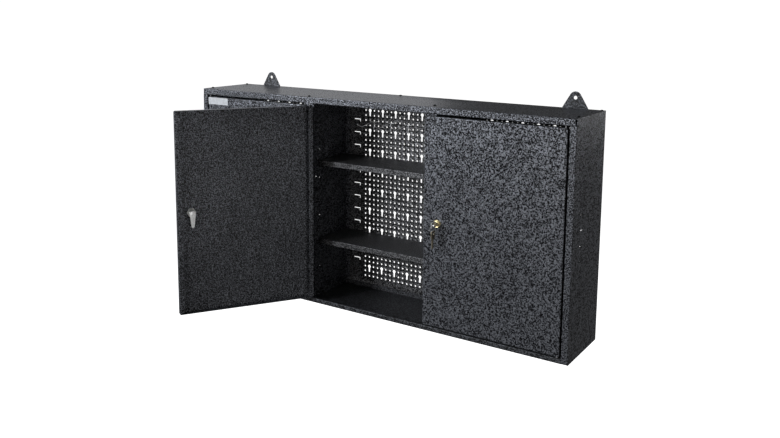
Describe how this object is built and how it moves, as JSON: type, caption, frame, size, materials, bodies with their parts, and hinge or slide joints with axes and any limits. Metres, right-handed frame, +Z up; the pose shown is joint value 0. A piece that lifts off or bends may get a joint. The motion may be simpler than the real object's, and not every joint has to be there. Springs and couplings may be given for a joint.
{
  "type": "hanging wall cabinet",
  "caption": "Hanging steel wall cabinet with inset hinged doors, cam locks, slotted uprights, tray shelves and a perforated hook board behind each bay.",
  "frame": {"origin": "centre of the rear face, which lies on the wall", "axes": "+X to the right seen from the front, +Y out of the back into the wall, +Z up"},
  "size_m": [1.2, 0.5202, 0.6435],
  "materials": {
    "casing_paint": "black hammertone powder coat",
    "door_paint": "black hammertone powder coat",
    "shelf_paint": "black powder coat, slightly glossy",
    "back_paint": "black powder coat on perforated sheet",
    "hook_wire": "bright plated wire",
    "zinc": "zinc plated",
    "lock_brass": "pale brass, lightly worn",
    "key_metal": "nickel plated",
    "plate_metal": "blank satin plate"
  },
  "bodies": {
    "casing": {"top_panel": "casing_paint", "bottom_panel": "casing_paint", "side_panel_left": "casing_paint", "side_panel_right": "casing_paint", "partition_left": "casing_paint", "partition_right": "casing_paint", "back_panel_left": "back_paint", "back_panel_middle": "back_paint", "back_panel_right": "back_paint", "shelf_left_lower": "shelf_paint", "shelf_left_upper": "shelf_paint", "shelf_middle_lower": "shelf_paint", "shelf_middle_upper": "shelf_paint", "shelf_right_lower": "shelf_paint", "shelf_right_upper": "shelf_paint", "hanging_ear_left": "casing_paint", "hanging_ear_right": "casing_paint", "ear_bolt_left_1": "zinc", "ear_bolt_left_2": "zinc", "ear_bolt_right_1": "zinc", "ear_bolt_right_2": "zinc", "hook_1": "hook_wire", "hook_2": "hook_wire", "hook_3": "hook_wire", "hook_4": "hook_wire", "left_hinge_pin_lower": "zinc", "left_hinge_pin_upper": "zinc", "middle_hinge_pin_lower": "zinc", "middle_hinge_pin_upper": "zinc", "right_hinge_pin_lower": "zinc", "right_hinge_pin_upper": "zinc"},
    "left_door": {"left_door": "door_paint", "left_lock_barrel": "lock_brass", "left_lock_nut": "zinc", "name_plate": "plate_metal"},
    "left_lock": {"left_lock_plug": "lock_brass", "left_lock_cam": "zinc", "left_cam_screw": "zinc"},
    "middle_door": {"middle_door": "door_paint", "middle_lock_barrel": "lock_brass", "middle_lock_nut": "zinc"},
    "middle_lock": {"middle_lock_plug": "lock_brass", "middle_lock_cam": "zinc", "middle_cam_screw": "zinc"},
    "right_door": {"right_door": "door_paint", "right_lock_barrel": "lock_brass", "right_lock_nut": "zinc"},
    "right_lock": {"right_lock_plug": "lock_brass", "right_lock_cam": "zinc", "right_cam_screw": "zinc", "key": "key_metal"},
    "key_ring": {"key_ring": "key_metal", "spare_key": "key_metal"}
  },
  "joints": [
    {"name": "left_door_hinge", "type": "hinge", "parent": "casing", "child": "left_door", "pos_m": [-0.5722, -0.196, -0.0025], "axis": [0, 0, -1], "range_deg": [0, 0.2]},
    {"name": "middle_door_hinge", "type": "hinge", "parent": "casing", "child": "middle_door", "pos_m": [-0.18573, -0.196, -0.0025], "axis": [0, 0, 1], "range_deg": [0, 123]},
    {"name": "right_door_hinge", "type": "hinge", "parent": "casing", "child": "right_door", "pos_m": [0.5722, -0.196, -0.0025], "axis": [0, 0, 1], "range_deg": [0, 123]},
    {"name": "left_lock_turn", "type": "hinge", "parent": "left_door", "child": "left_lock", "pos_m": [-0.23473, -0.2, -0.0025], "axis": [0, -1, 0], "range_deg": [0, 90]},
    {"name": "middle_lock_turn", "type": "hinge", "parent": "middle_door", "child": "middle_lock", "pos_m": [-0.37289, -0.47685, -0.0025], "axis": [-0.8387, 0.5446, 0], "range_deg": [0, 90]},
    {"name": "right_lock_turn", "type": "hinge", "parent": "right_door", "child": "right_lock", "pos_m": [0.23473, -0.2, -0.0025], "axis": [0, 1, 0], "range_deg": [0, 90]},
    {"name": "key_ring_swing", "type": "hinge", "parent": "right_lock", "child": "key_ring", "pos_m": [0.23473, -0.2213, -0.0025], "axis": [1, 0, 0], "range_deg": [-75, 12]}
  ]
}
